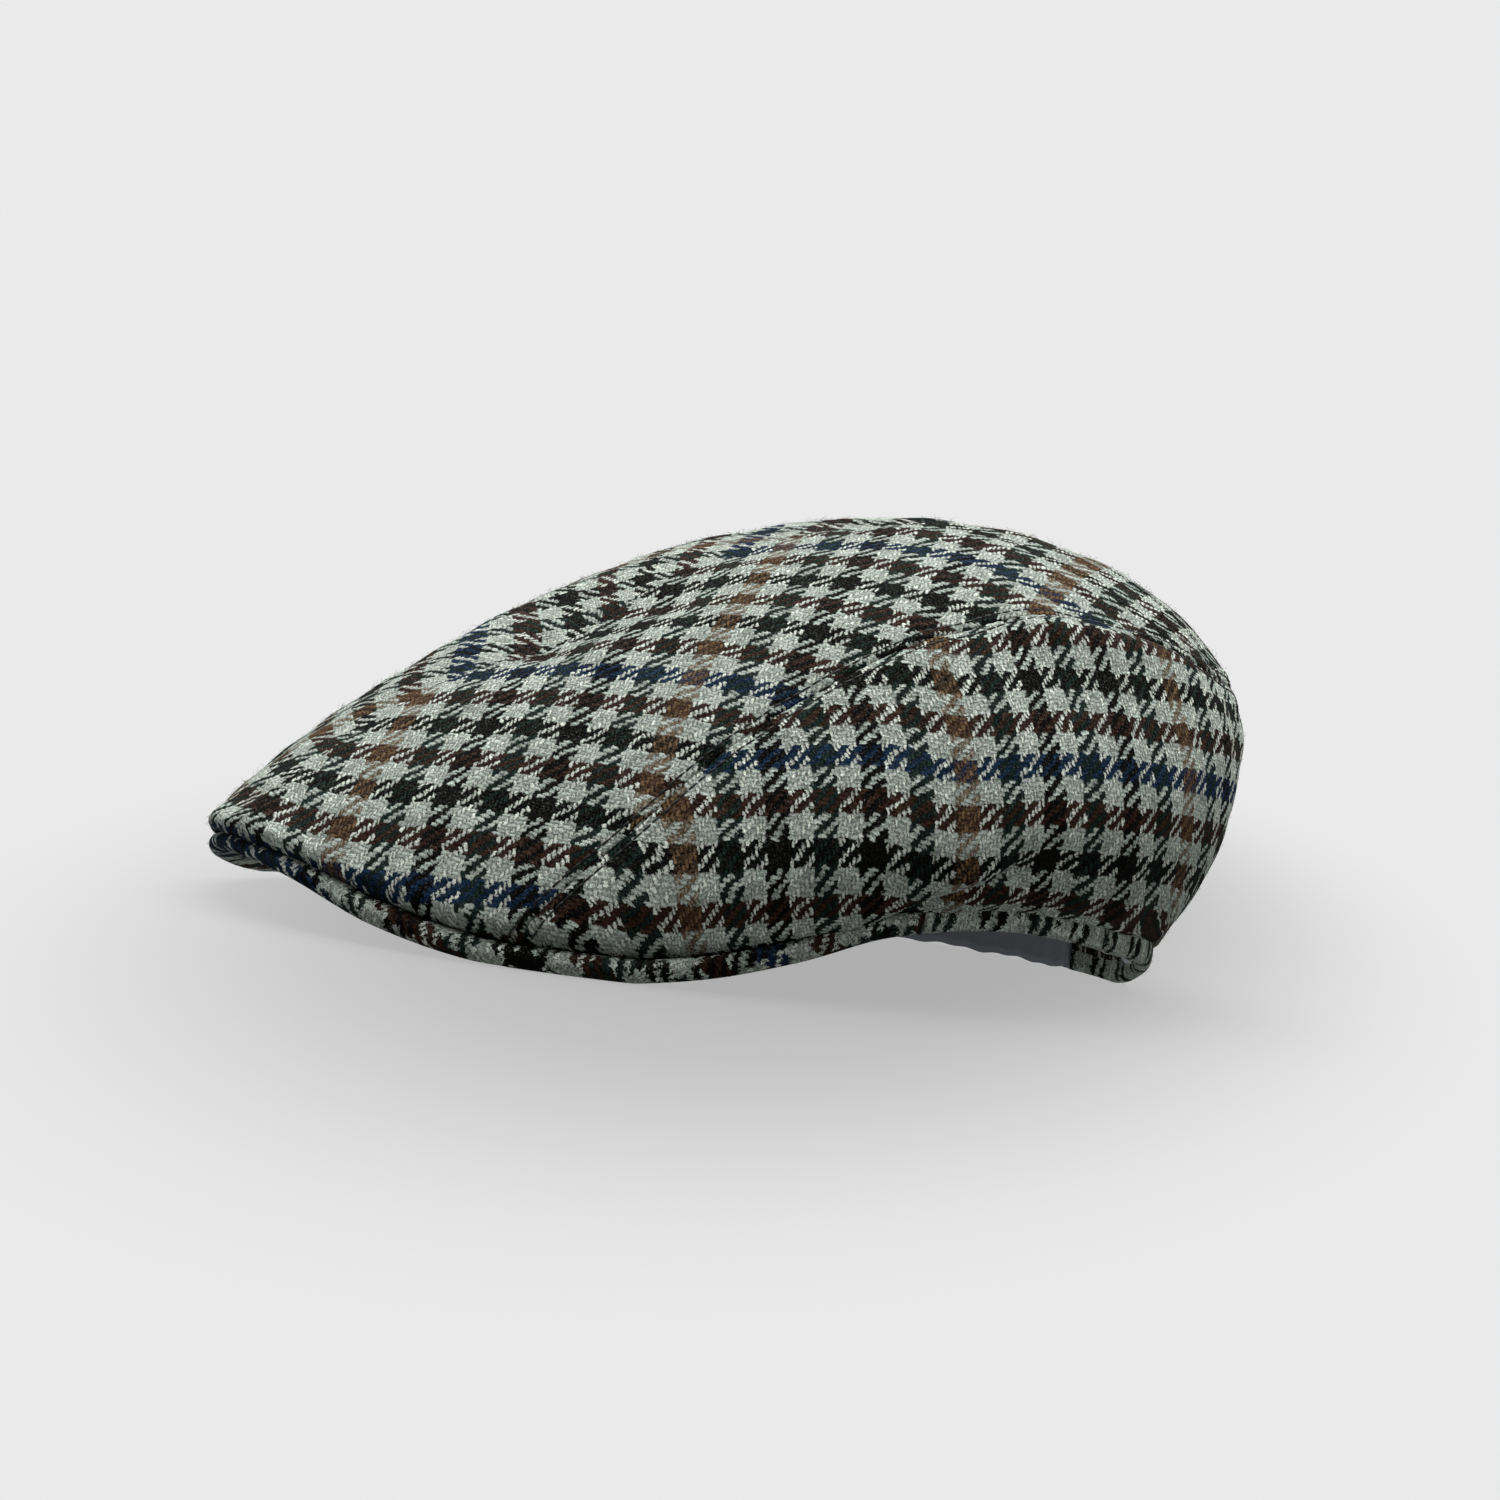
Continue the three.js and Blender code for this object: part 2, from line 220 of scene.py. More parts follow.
def hill(d, wide):
    """1 at a distance of 0, and close to 0 from twice the width on."""
    return np.exp(-(d / wide) ** 2)


def softness(p):
    """Slow unevenness of stuffed cloth."""
    x, y, z = p[..., 0], p[..., 1], p[..., 2]
    return (0.30 * np.sin(x / 7.3 + y / 11.0 + 0.6) * np.sin(y / 9.1 - z / 8.0 + 1.1)
            + 0.22 * np.sin(x / 4.6 - y / 5.9 + z / 6.7) + 0.16 * np.sin(y / 3.1 + z / 4.4 + 2.0))


seam_b = np.linspace(SEAM_START, 180, 400)
SEAM_LINE = plain(seam_b, seam_share(seam_b))


def seam_distance(p, b, share):
    """Distance to the side seam in mm: above 0 on the top panel, below 0 on the side panel."""
    points = p.reshape(-1, 3)
    near = np.empty(len(points))
    batch = 4000  # keeps the table of distances small
    for k in range(0, len(points), batch):
        near[k:k + batch] = np.sqrt(((points[k:k + batch, None] - SEAM_LINE) ** 2).sum(-1).min(1))
    near = near.reshape(b.shape)
    return np.where((b < SEAM_START) | (share > seam_share(b)), near, -near)


def seam_relief(g, b):
    """The side seam's groove, its topstitched edges, and the side panel's edge, puffed over the ear."""
    puff = rising(b, 60, 30) * (1 - rising(b, 95, 30))
    beside = 0.3 + 1.5 * puff - 0.9 * rising(b, 95, 30)
    groove = -0.8 * hill(g, 0.9) - 0.3 * hill(np.abs(g) - STITCH_OFF, 0.6)
    edges = 0.3 * hill(np.abs(g) - 4.2, 1.4)
    return groove + edges + np.where(g < 0, beside * hill(g + 6.5, 5.0), -0.9 * puff * hill(g - 5, 6.0))


def proud(p, b, share, left):
    """How far the cloth stands out. The points are on the left; for the right panels they are mirrored."""
    facing = p * np.array([1 if left else -1, 1, 1])
    x, y = facing[..., 0], facing[..., 1]
    up = share * length_at(b)
    out = softness(facing) + seam_relief(seam_distance(p, b, share), b)
    for start, end, height, wide, left_alone in FOLDS:
        out = out + height * hill(to_segment(facing if left_alone else p, start, end), wide)
    # the right of the front is fuller than the left
    out = out + 1.5 * eased(rising(-x, 0, 24)) * hill(x + 24, 45) * hill(y + 48, 62)
    # low at the back the cloth hangs in over the strip
    out = out - 2.3 * eased(rising(b, 95, 40)) * hill(up - 15, 14)
    # the lowest edge stays in place, and rolls out softly just above
    return out * rising(up, 0, 7) + 0.7 * hill(up - 4.5, 3.0)


# how far, how many mm forward of the pole, along how much of the seam
WANDERINGS = [(3.4, 224, 27), (10.5, 124, 27), (-1.5, 62, 26)]


def centre_shift(b):
    """How far the centre seam wanders to the left, b mm forward of the pole."""
    return sum(far * hill(b - forward, wide) for far, forward, wide in WANDERINGS)


# ---- How the check lies on each panel ----
BAND_THREADS = 12  # six dark and six light
BAND_MM = 16.1  # the same on flat cloth
THREAD_STEP = 50  # mm; the two functions below count in these


def top_threads(a, b):
    """Threads across and along the top panel, which is cut on the bias.

    Both counts of bands grow outwards and shrink forwards, and bend a little. The factors were fitted
    to measured places of the bands by least squares, then rounded.
    """
    x, y = (a - 40) / THREAD_STEP, (b - 100) / THREAD_STEP
    by = np.maximum(y, -1.8)  # no bending behind this line
    warp = 5.33 + 3.08 * x - 2.75 * y + 0.15 * by ** 2 + (0.11 - 0.09 * by) * x * by - 0.27 * x ** 3
    weft = 7.84 - 2.66 * x - 3.13 * y - 0.18 * by ** 2 + 0.05 * by ** 3
    weft = weft + (0.17 + 0.18 * by - 0.17 * x * by) * x * by
    return BAND_THREADS * np.stack([warp, -weft], -1)


# distance round the side, along a line low on it, from the middle of the temple
low_line = plain(BEARINGS, 0.3 + 0 * BEARINGS)
ROUND = np.r_[0, np.cumsum(np.linalg.norm(np.diff(low_line, axis=0), axis=1))]
ROUND = ROUND - np.interp(60, BEARINGS, ROUND)


def side_threads(b, share):
    """Threads round and up the side panel.

    The warp stands up and the weft runs level, but for a little bending between temple and back. The
    factors were fitted like the top's.
    """
    up = share * length_at(b)
    x, y = (np.interp(b, BEARINGS, ROUND) - 25) / THREAD_STEP, (up - 50) / THREAD_STEP
    bx, by = np.clip(x, -1.5, 1.9), np.clip(y, -1.1, 0.7)  # no bending beyond these
    warp = 7.34 + 4.09 * x + 0.56 * y + 0.43 * by ** 2 - 0.17 * bx ** 2
    warp = warp - (0.42 - 0.43 * bx + 0.76 * by + 0.49 * bx * by) * bx * by
    weft = 0.12 * x + 4.04 * y - 0.13 - 0.35 * by ** 3 + (0.18 + 0.17 * bx * by) * bx * by
    # at the foot the rows lie closer together before the temple, and further apart behind it
    closer = 5.0 * hill(up, 9) * (1 - rising(b, 64, 20))
    wider = 3.4 * hill(up, 8) * rising(b, 88, 18)
    return np.stack([BAND_THREADS * warp, -BAND_THREADS * weft + closer - wider], -1)


# ---- How the front edge sits: the left a little low, the right a little high ----
def settle(points):
    """Points of the cap moved down or up near the front edge, and never below the floor."""
    x, y, z = points.T
    bearing = np.degrees(np.arctan2(x, POLE_Y - y))
    down = 2.9 * hill(bearing - 13.5, 9) * hill(z, 14)
    raised = 2.2 * hill(bearing + 25, 11) * hill(z, 25)
    return np.stack([x, y, np.maximum(z - down + raised, np.minimum(z, 0.3))], -1)


# ---- Meshes ----
def material_on(obj, *materials):
    for m in materials:
        obj.data.materials.append(m)


def new_object(name, points, faces, threads=None):
    """A smooth mesh from points in mm, with a thread count for each point."""
    mesh = bpy.data.meshes.new(name)
    mesh.from_pydata((points * MM).tolist(), [], faces)
    mesh.polygons.foreach_set("use_smooth", [True] * len(faces))
    if threads is not None:
        layer = mesh.uv_layers.new(name="threads")
        corner = np.empty(len(mesh.loops), int)
        mesh.loops.foreach_get("vertex_index", corner)
        layer.data.foreach_set("uv", threads[corner].astype(np.float32).ravel())
    mesh.update()
    obj = bpy.data.objects.new(name, mesh)
    bpy.context.scene.collection.objects.link(obj)
    return obj


def build(name, points, faces, threads=None, marks=None):
    """A piece of the cap. Points in one place become one, and faces that this flattens are dropped."""
    points = settle(points)
    _, index, back = np.unique(np.round(points, 3), axis=0, return_index=True, return_inverse=True)
    back = back.reshape(-1)
    kept, kept_marks = [], []
    for k, f in enumerate(faces):
        ring = []
        for v in back[list(f)]:
            if v not in ring:
                ring.append(int(v))
        if len(ring) > 2:
            kept.append(ring)
            kept_marks.append(0 if marks is None else int(marks[k]))
    obj = new_object(name, points[index], kept, None if threads is None else threads[index])
    obj.data.polygons.foreach_set("material_index", kept_marks)
    return obj


def shell_faces(rows, columns):
    """Quads of an outer and an inner grid with walls between them, and a mark of 1 on the inner."""
    i, j = np.meshgrid(np.arange(rows - 1), np.arange(columns - 1), indexing="ij")
    a = (i * columns + j).ravel()
    out = np.stack([a, a + columns, a + columns + 1, a + 1], -1)
    n = rows * columns
    inner = out[:, ::-1] + n
    down, along = np.arange(rows) * columns, np.arange(columns)
    edges = ((down, False), (down + columns - 1, True), (along, True), ((rows - 1) * columns + along, False))
    walls = []
    for line, turned in edges:
        p, q = line[:-1], line[1:]
        w = np.stack([p, p + n, q + n, q], -1)
        walls.append(w[:, ::-1] if turned else w)
    walls = np.concatenate(walls)
    faces = np.concatenate([out, walls, inner])
    return faces.tolist(), np.r_[np.zeros(len(out) + len(walls)), np.ones(len(inner))]


def flat_place(a, b):
    """Bearing and share of a point mm out from the centre line and mm forward of the pole."""
    bearing = np.degrees(np.arctan2(np.abs(a), b))
    return bearing, 1 - np.hypot(a, b) / length_at(bearing)


def plain_flat(a, b):
    """The plain surface at a flat place, on either side of the centre line."""
    bearing, share = flat_place(a, b)
    p = plain(bearing, share)
    p[..., 0] *= np.where(a < 0, -1, 1)
    return p


def out_of(p, a, b):
    """Unit normals of the plain surface at flat places, pointing away from the middle of the head."""
    step = 0.8
    forward = plain_flat(a, b - step) - plain_flat(a, b + step)
    n = np.cross(forward, plain_flat(a - step, b) - plain_flat(a + step, b))
    n = n / np.maximum(np.linalg.norm(n, axis=-1, keepdims=True), 1e-9)
    away = p - np.array([0, 10.0, 30.0])
    return n * np.where((n * away).sum(-1) < 0, -1, 1)[..., None]


TUCK, TUCK_UP = 2.4, 3.0  # how far the lower edge is tucked under, and how far up that reaches
BACK_SEAM = 0.02  # from the centre line to each side panel's end at the back


def cloth_panel(name, a, b, threads, left, materials, at_back=False):
    """A panel of the crown over a grid of flat places, as a closed shell. Side panels end at the back."""
    bearing, share = flat_place(a, b)
    p = plain_flat(a, b)
    n = out_of(p, a, b)
    outer = p + n * proud(p, bearing, share, left)[..., None]
    tuck = TUCK * hill(share * length_at(bearing), TUCK_UP)
    from_pole = place(bearing, 1 + 0 * bearing, 0) - np.array([0, POLE_Y, 0])
    outer = outer - tuck[..., None] * from_pole
    inner = outer - n * CLOTH
    if at_back:
        for grid in (outer, inner):
            grid[..., 0] = np.maximum(grid[..., 0], BACK_SEAM)
    rows, columns = a.shape
    faces, marks = shell_faces(rows, columns)
    points = np.concatenate([outer.reshape(-1, 3), inner.reshape(-1, 3)])
    if not left:
        points[:, 0] *= -1
        threads = threads * np.array([-1, 1])
    else:
        faces = [f[::-1] for f in faces]
    uv = np.concatenate([threads.reshape(-1, 2)] * 2)
    obj = build(name, points, faces, uv, marks)
    material_on(obj, *materials)
    return obj


def spread(points, n):
    """n points an even distance apart along a line of points, or one at each share of it if n is a list."""
    s = np.r_[0, np.cumsum(np.linalg.norm(np.diff(points, axis=0), axis=1))]
    want = np.linspace(0, s[-1], n) if np.isscalar(n) else n * s[-1]
    return np.stack([np.interp(want, s, points[:, k]) for k in range(points.shape[1])], -1)


def flat(b, share):
    """The flat place at a bearing and a share: mm out from the centre line and mm forward of the pole."""
    rho = (1 - share) * length_at(b)
    return np.stack([rho * np.sin(np.radians(b)), rho * np.cos(np.radians(b))], -1)


TOP_ROWS, TOP_COLUMNS = 250, 80
SIDE_ROWS, SIDE_COLUMNS = 230, 62

# The top panel's grid fills the shape between the centre line, the seam and the front edge.
seam_flat = flat(seam_b, seam_share(seam_b))
q = np.linspace(0, 1, TOP_ROWS)
u = np.linspace(0, 1, TOP_COLUMNS)
u = u + 0.10 * np.sin(np.pi * u) ** 2 * (1 - u)  # closer together towards the seam
foot_flat = spread(flat(np.linspace(0, SEAM_START, 200), 0.0), u)
seam_points = spread(seam_flat, TOP_ROWS)
centre = np.stack([0 * q, foot_flat[0, 1] + (seam_flat[-1, 1] - foot_flat[0, 1]) * q], -1)
Q, U = q[:, None, None], u[None, :, None]
top = (1 - U) * centre[:, None] + U * seam_points[:, None]
top = top + (1 - Q) * (foot_flat - ((1 - U[0]) * foot_flat[0] + U[0] * foot_flat[-1]))[None]

# The side panel's grid runs round from the front, and up from the foot to the seam.
q = np.linspace(0, 1, len(seam_b))
side_b = np.interp(np.linspace(0, 1, SIDE_ROWS), q, SEAM_START + (180 - SEAM_START) * q ** 1.05)
v = np.linspace(0, 1, SIDE_COLUMNS)
side_share = seam_share(side_b)[:, None] * v
side_flat = flat(side_b[:, None] + 0 * v, side_share)


# ---- Materials ----
def linear(r, g, b):
    c = np.array([r, g, b]) / 255
    return (*np.where(c <= 0.04045, c / 12.92, ((c + 0.055) / 1.055) ** 2.4).tolist(), 1)


class Tree:
    """A material's nodes, by short calls."""

    def __init__(self, name):
        self.material = bpy.data.materials.new(name)
        self.material.use_nodes = True
        self.tree = self.material.node_tree
        self.bsdf = self.tree.nodes["Principled BSDF"]

    def put(self, socket, value):
        if isinstance(value, bpy.types.NodeSocket):
            self.tree.links.new(value, socket)
        else:
            socket.default_value = value

    def node(self, kind, out=0, settings=None, **inputs):
        n = self.tree.nodes.new(kind)
        for key, value in (settings or {}).items():
            setattr(n, key, value)
        for key, value in inputs.items():
            self.put(n.inputs[int(key[1:]) if key[0] == "i" and key[1:].isdigit() else key], value)
        return n.outputs[out]

    def math(self, op, a, b=0.0, c=0.0):
        return self.node("ShaderNodeMath", 0, {"operation": op}, i0=a, i1=b, i2=c)

    def vector(self, op, a, b, c=(0, 0, 0)):
        return self.node("ShaderNodeVectorMath", 0, {"operation": op}, i0=a, i1=b, i2=c)

    def split(self, vector):
        n = self.tree.nodes.new("ShaderNodeSeparateXYZ")
        self.put(n.inputs[0], vector)
        return n.outputs

    def pick(self, share, a, b):
        """Number a where the share is 0, and b where it is 1."""
        return self.node("ShaderNodeMix", 0, None, i0=share, i2=a, i3=b)

    def remap(self, value, low, high, to_low, to_high):
        return self.node("ShaderNodeMapRange", 0, None, Value=value, i1=low, i2=high, i3=to_low, i4=to_high)

    def grey(self, tone):
        return self.node("ShaderNodeCombineColor", 0, None, i0=tone, i1=tone, i2=tone)

    def bump(self, height, strength, distance):
        relief = self.node("ShaderNodeBump", 0, None, Strength=strength, Distance=distance, Height=height)
        self.put(self.bsdf.inputs["Normal"], relief)

    def noise(self, where, scale, detail=2.0, out=0):
        return self.node("ShaderNodeTexNoise", out, None, Vector=where, Scale=scale, Detail=detail)

    def mix(self, share, a, b, how="MIX"):
        n = self.tree.nodes.new("ShaderNodeMix")
        n.data_type, n.blend_type = "RGBA", how
        self.put(n.inputs[0], share)
        self.put(n.inputs[6], a)
        self.put(n.inputs[7], b)
        return n.outputs[2]

    def bands(self, place, colours):
        n = self.tree.nodes.new("ShaderNodeValToRGB")
        ramp = n.color_ramp
        ramp.interpolation = "CONSTANT"
        while len(ramp.elements) < len(colours):
            ramp.elements.new(1)
        for k, c in enumerate(colours):
            ramp.elements[k].position = k / len(colours)
            ramp.elements[k].color = c
        self.put(n.inputs[0], place)
        return n.outputs[0]


LIGHT_WARP, LIGHT_WEFT = linear(174, 180, 170), linear(146, 155, 147)
GREEN, BLACK, TAN = linear(19, 33, 30), linear(8, 8, 7), linear(94, 73, 51)
BROWN, NAVY = linear(42, 26, 19), linear(15, 33, 54)
# pale haze of stray fibres, with painted sheen where the cloth faces up
STRAY_AND_SHEEN = linear(106, 109, 102)
WARP_SLUB, WEFT_SLUB = (1.2, 1.03), (0.92, 0.93)  # 1 over half the width and half the length of a slub
CHECK = 6 * BAND_THREADS  # threads until the colours come round again
HALF_DARK = 3.5  # puts thread 0 in the middle of the first dark band


def between(darks, light):
    return [c for dark in darks for c in (dark, light)]


def thread_place(t, obj, fuzz):
    """Where a point lies, in threads. Yarns wander a little, and their edges are hairy."""
    middle = (0.5, 0.5, 0.5)
    wander = t.vector("SUBTRACT", t.noise(obj, 210, 1, 1), middle)
    hairy = t.vector("SUBTRACT", t.noise(obj, 1700, 3, 1), middle)
    counted = t.node("ShaderNodeUVMap", 0, {"uv_map": "threads"})
    wandered = t.vector("MULTIPLY_ADD", wander, (2.4, 2.4, 0), counted)
    x, y, _ = t.split(t.vector("MULTIPLY_ADD", hairy, (1.5 * fuzz, 1.5 * fuzz, 0), wandered))
    return x, y


def share_of_check(t, count):
    return t.math("FRACT", t.math("DIVIDE", t.math("ADD", count, HALF_DARK), float(CHECK)))


def slub_shape(t, obj, x, y, over, along):
    """Each float is a short plump slub: how much of it shows, and how high it stands."""
    fx = t.math("MULTIPLY_ADD", t.math("FRACT", x), 2.0, -1.0)
    fy = t.math("MULTIPLY_ADD", t.math("FRACT", y), 2.0, -1.0)
    across = t.pick(over, fy, fx)
    lengthways = t.math("SUBTRACT", t.math("FLOORED_MODULO", along, 2.0), 1.0)
    narrow = t.math("MULTIPLY_ADD", over, WARP_SLUB[0] - WEFT_SLUB[0], WEFT_SLUB[0])
    short = t.math("MULTIPLY_ADD", over, WARP_SLUB[1] - WEFT_SLUB[1], WEFT_SLUB[1])
    edge = t.math("ADD", t.math("POWER", t.math("MULTIPLY", across, narrow), 2.0),
                  t.math("POWER", t.math("MULTIPLY", lengthways, short), 4.0))
    worn = t.remap(t.noise(obj, 1500, 2), 0.54, 0.7, 1.0, 0.35)
    slub = t.math("MULTIPLY", t.remap(edge, 1.15, 0.75, 0.0, 1.0), worn)
    dome = t.math("SQRT", t.math("MAXIMUM", t.math("SUBTRACT", 1.0, edge), 0.0))
    return slub, dome


def own_brightness(t, column, row, over, along):
    """A random number for each float."""
    number = t.math("FLOOR", t.math("DIVIDE", along, 2.0))
    which = t.node("ShaderNodeCombineXYZ", 0, None, i0=t.pick(over, row, column), i1=number, i2=over)
    return t.node("ShaderNodeTexWhiteNoise", 0, {"noise_dimensions": "3D"}, Vector=which)


def checked_wool(name, shade=1.0, fuzz=1.0, first=TAN, first_thin=0.6):
    """A 2/2 twill with the check. The first warp colour is a thin yarn: the lighter weft shows through."""
    t = Tree(name)
    obj = t.node("ShaderNodeTexCoord", 3)
    upward = t.split(t.node("ShaderNodeNewGeometry", 1))[2]
    x, y = thread_place(t, obj, fuzz)
    column, row = t.math("FLOOR", x), t.math("FLOOR", y)
    # Two threads over, two under, one further along on each row.
    turn = t.math("FLOORED_MODULO", t.math("ADD", column, row), 4.0)
    over = t.math("LESS_THAN", turn, 1.5)
    along = t.pick(over, t.math("ADD", x, row), t.math("ADD", y, column))

    column_share = share_of_check(t, column)
    warp = t.bands(column_share, between([first, GREEN, BLACK, GREEN, BLACK, GREEN], LIGHT_WARP))
    weft = t.bands(share_of_check(t, row), between([NAVY, BROWN, BLACK, BROWN, BLACK, BROWN], LIGHT_WEFT))
    slub, dome = slub_shape(t, obj, x, y, over, along)
    # between slubs the darker of the two yarns shows: partly the weave's own colour, partly painted shade in
    # the gaps
    colour = t.mix(slub, t.mix(1.0, warp, weft, "DARKEN"), t.mix(over, weft, warp))
    first_band = t.math("LESS_THAN", column_share, 1 / 12)  # six dark bands and six light
    worn_through = t.remap(t.noise(obj, 1300, 4), 0.4, 0.65, 0.0, first_thin)
    thin = t.math("MULTIPLY", first_band, worn_through)
    colour = t.mix(thin, colour, t.mix(1.0, warp, weft, "LIGHTEN"))
    # stray fibres of other yarns, and painted sheen: the pale haze is much stronger where the cloth faces up
    fluff = t.remap(upward, 0.1, 0.9, 0.1, 0.42)
    stray_and_sheen_share = t.remap(t.noise(obj, 2300, 5), 0.53, 0.68, 0.0, fluff)
    colour = t.mix(stray_and_sheen_share, colour, STRAY_AND_SHEEN)

    fine, soft = t.noise(obj, 3100, 4), t.noise(obj, 60, 3)
    own = own_brightness(t, column, row, over, along)
    # painted shade: darker in the gaps between slubs and towards each slub's edge
    shade_between_yarns = t.math("MULTIPLY_ADD", slub, t.math("MULTIPLY_ADD", dome, 0.58, 0.14), 0.47 * shade)
    speckled, own = t.math("MULTIPLY_ADD", fine, 2.0, 0.05), t.math("MULTIPLY_ADD", own, 0.5, 0.75)
    tone = t.math("MULTIPLY", shade_between_yarns, t.math("MULTIPLY", speckled, own))
    tone = t.math("MULTIPLY", tone, t.math("MULTIPLY_ADD", soft, 0.4, 0.8))
    # painted shade: darker where the cloth faces down
    tone = t.math("MULTIPLY", tone, t.remap(upward, -0.6, 0.15, 0.66, 1.0))
    t.put(t.bsdf.inputs["Base Color"], t.mix(1.0, colour, t.grey(tone), "MULTIPLY"))
    t.bsdf.inputs["Roughness"].default_value = 0.95
    t.bsdf.inputs["Specular IOR Level"].default_value = 0.02
    t.bump(t.math("ADD", t.math("MULTIPLY", dome, slub), t.math("MULTIPLY", fine, 0.9)), 0.8, 0.0007)
    return t.material


def plain_cloth(name, colour, rough, grain, relief, sheen, specular, spots):
    """Cloth of one colour, spotted finely. grain is the spots' scale, and spots how strong they are."""
    t = Tree(name)
    fine = t.noise(t.node("ShaderNodeTexCoord", 3), grain, 3)
    dark = (*(c * (1 - spots) for c in colour[:3]), 1)
    pale = (*(min(1, c * (1 + spots)) for c in colour[:3]), 1)
    t.put(t.bsdf.inputs["Base Color"], t.mix(fine, dark, pale))
    t.bsdf.inputs["Roughness"].default_value = rough
    t.bsdf.inputs["Specular IOR Level"].default_value = specular
    t.bsdf.inputs["Sheen Weight"].default_value = sheen
    t.bump(fine, 0.6, relief)
    return t.material


wool = checked_wool("checked_wool")
edge_wool = checked_wool("edge_wool", shade=0.9, fuzz=1.6, first=BLACK, first_thin=0.0)
backing = plain_cloth("backing_cloth", linear(52, 54, 60), rough=0.9, grain=1800, relief=0.0003,
                      sheen=0.15, specular=0.25, spots=0.3)
satin = plain_cloth("satin_band", linear(84, 89, 96), rough=0.45, grain=900, relief=0.0002,
                    sheen=0.0, specular=0.5, spots=0.12)
thread = plain_cloth("sewing_thread", linear(13, 13, 13), rough=0.7, grain=4000, relief=0.0001,
                     sheen=0.0, specular=0.3, spots=0.3)

# ---- Crown ----
top_out, top_forward = top[..., 0], top[..., 1]
shift = centre_shift(top_forward) * hill(top_out, 34)  # fades away from the centre
for side_name, left in (("left", True), ("right", False)):
    made = cloth_panel("crown_top_" + side_name, top_out + (shift if left else -shift), top_forward,
                       top_threads(top_out + shift, top_forward), left, (wool, backing))
    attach(made, "root")
    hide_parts("top_panel_" + side_name)
    made = cloth_panel("crown_side_" + side_name, side_flat[..., 0], side_flat[..., 1],
                       side_threads(side_b[:, None] + 0 * v, side_share), left, (wool, backing), at_back=True)
    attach(made, "root")
    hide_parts("side_panel_" + side_name)


def edge_reach(b):
    return larger(reach(PEAK_EDGE, b), reach(OPENING, b) + STRIP_OUT)


def ring_faces(rings, n):
    """Quads between closed rings of n points."""
    faces = []
    for i in range(rings - 1):
        for k in range(n):
            m = (k + 1) % n
            faces.append((i * n + k, (i + 1) * n + k, (i + 1) * n + m, i * n + m))
    return faces


def strip(name, bearings, profile, material):
    """A solid that runs round the opening. profile(b) gives rows of reach, height, threads x, threads y."""
    rings = [profile(b) for b in bearings]
    n = len(rings[0])
    points = np.concatenate([place(b, r[:, 0], r[:, 1]) for b, r in zip(bearings, rings)])
    threads = np.concatenate([r[:, 2:4] for r in rings])
    faces = ring_faces(len(rings), n)
    # a fan closes each end
    for start, turned in ((0, False), ((len(rings) - 1) * n, True)):
        middle = len(points)
        ring = np.arange(start, start + n)
        points = np.vstack([points, points[ring].mean(0)])
        threads = np.vstack([threads, threads[ring].mean(0)])
        for k in range(n):
            f = (ring[k], ring[(k + 1) % n], middle)
            faces.append(f[::-1] if turned else f)
    obj = build(name, points, faces, threads)
    material_on(obj, material)
    return obj


# ---- Peak: a padded roll round its edge, and the board behind it ----
ROLL_TALL, ROLL_ACROSS = 2.95, 3.3  # half the padded roll's height and width
ROLL_TOP = 5.9  # above the hem
SHELF, SHELF_DOWN = 9.0, 0.4  # level part under the crown's edge, and how far it lies below the hem's top
PEAK_BOARD = 4  # thickness at the brow


def peak_profile(b):
    edge, low, inside = edge_reach(b), hem(b), reach(OPENING, b) - STRIP + STRIP_OUT
    span = max(0, edge - inside)
    shelf = min(SHELF, span * 0.6)
    board = min(opening_z(b) + PEAK_BOARD, low + HEM + (span - shelf) * 0.6)
    # the padded roll, thinner and a little further in at the tip
    tip = float(hill(b, 14))
    edge = edge - 3.0 * hill(b + 8, 18)
    across, tall = min(ROLL_ACROSS, span * 0.4), ROLL_TALL - 0.8 * tip
    turn = np.radians(np.linspace(118, -92, 17))
    roll_middle = edge + 0.3 - across
    roll_r = roll_middle + across * np.cos(turn)
    roll_z = low + ROLL_TOP - tall + tall * np.sin(turn)
    # the underside, in to the opening
    inward = np.linspace(0, 1, 14)[1:]
    floor_r = edge - across - 1
    under_r = floor_r + (inside - floor_r) * inward
    under_low = low + 0.4 + 1.6 * tip
    under_z = under_low + (min(opening_z(b), board - 3) - under_low) * inward ** 1.3
    r = np.r_[roll_r, under_r, inside, edge - shelf]
    z = np.r_[roll_z, under_z, board, low + HEM - SHELF_DOWN]
    # The check runs on flat round the roll.
    flat_roll = roll_middle + across * (np.radians(90) - turn)
    flat_under = flat_roll[-1] + floor_r - under_r
    flat_r = np.r_[flat_roll, flat_under, flat_roll[-1] + floor_r - inside + 4, edge - shelf]
    p = place(b, flat_r, 0 * flat_r)
    # towards the temples the edging's cut turns away from the crown's
    turned = np.sign(b) * 0.75 * max(0, abs(b) - 12.5)
    threads_x = p[:, 0] / BAND_MM * BAND_THREADS + turned
    threads_y = (p[:, 1] + 134) / BAND_MM * BAND_THREADS - 6 * hill(abs(b) - 29, 13)
    return np.stack([r, z, threads_x, threads_y], -1)


peak = strip("peak_cover", np.linspace(-TEMPLE, TEMPLE, 180), peak_profile, edge_wool)
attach(peak, "root")
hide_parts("peak")

# ---- Hem strip: rolled cloth from temple to temple round the back ----
END_GAP = 0.25  # degrees between the peak's end and the strip's
hem_b = np.linspace(TEMPLE + END_GAP, 360 - TEMPLE - END_GAP, 300)
hem_line = place(hem_b, edge_reach(hem_b), hem(hem_b))
hem_run = np.r_[0, np.cumsum(np.linalg.norm(np.diff(hem_line, axis=0), axis=1))]


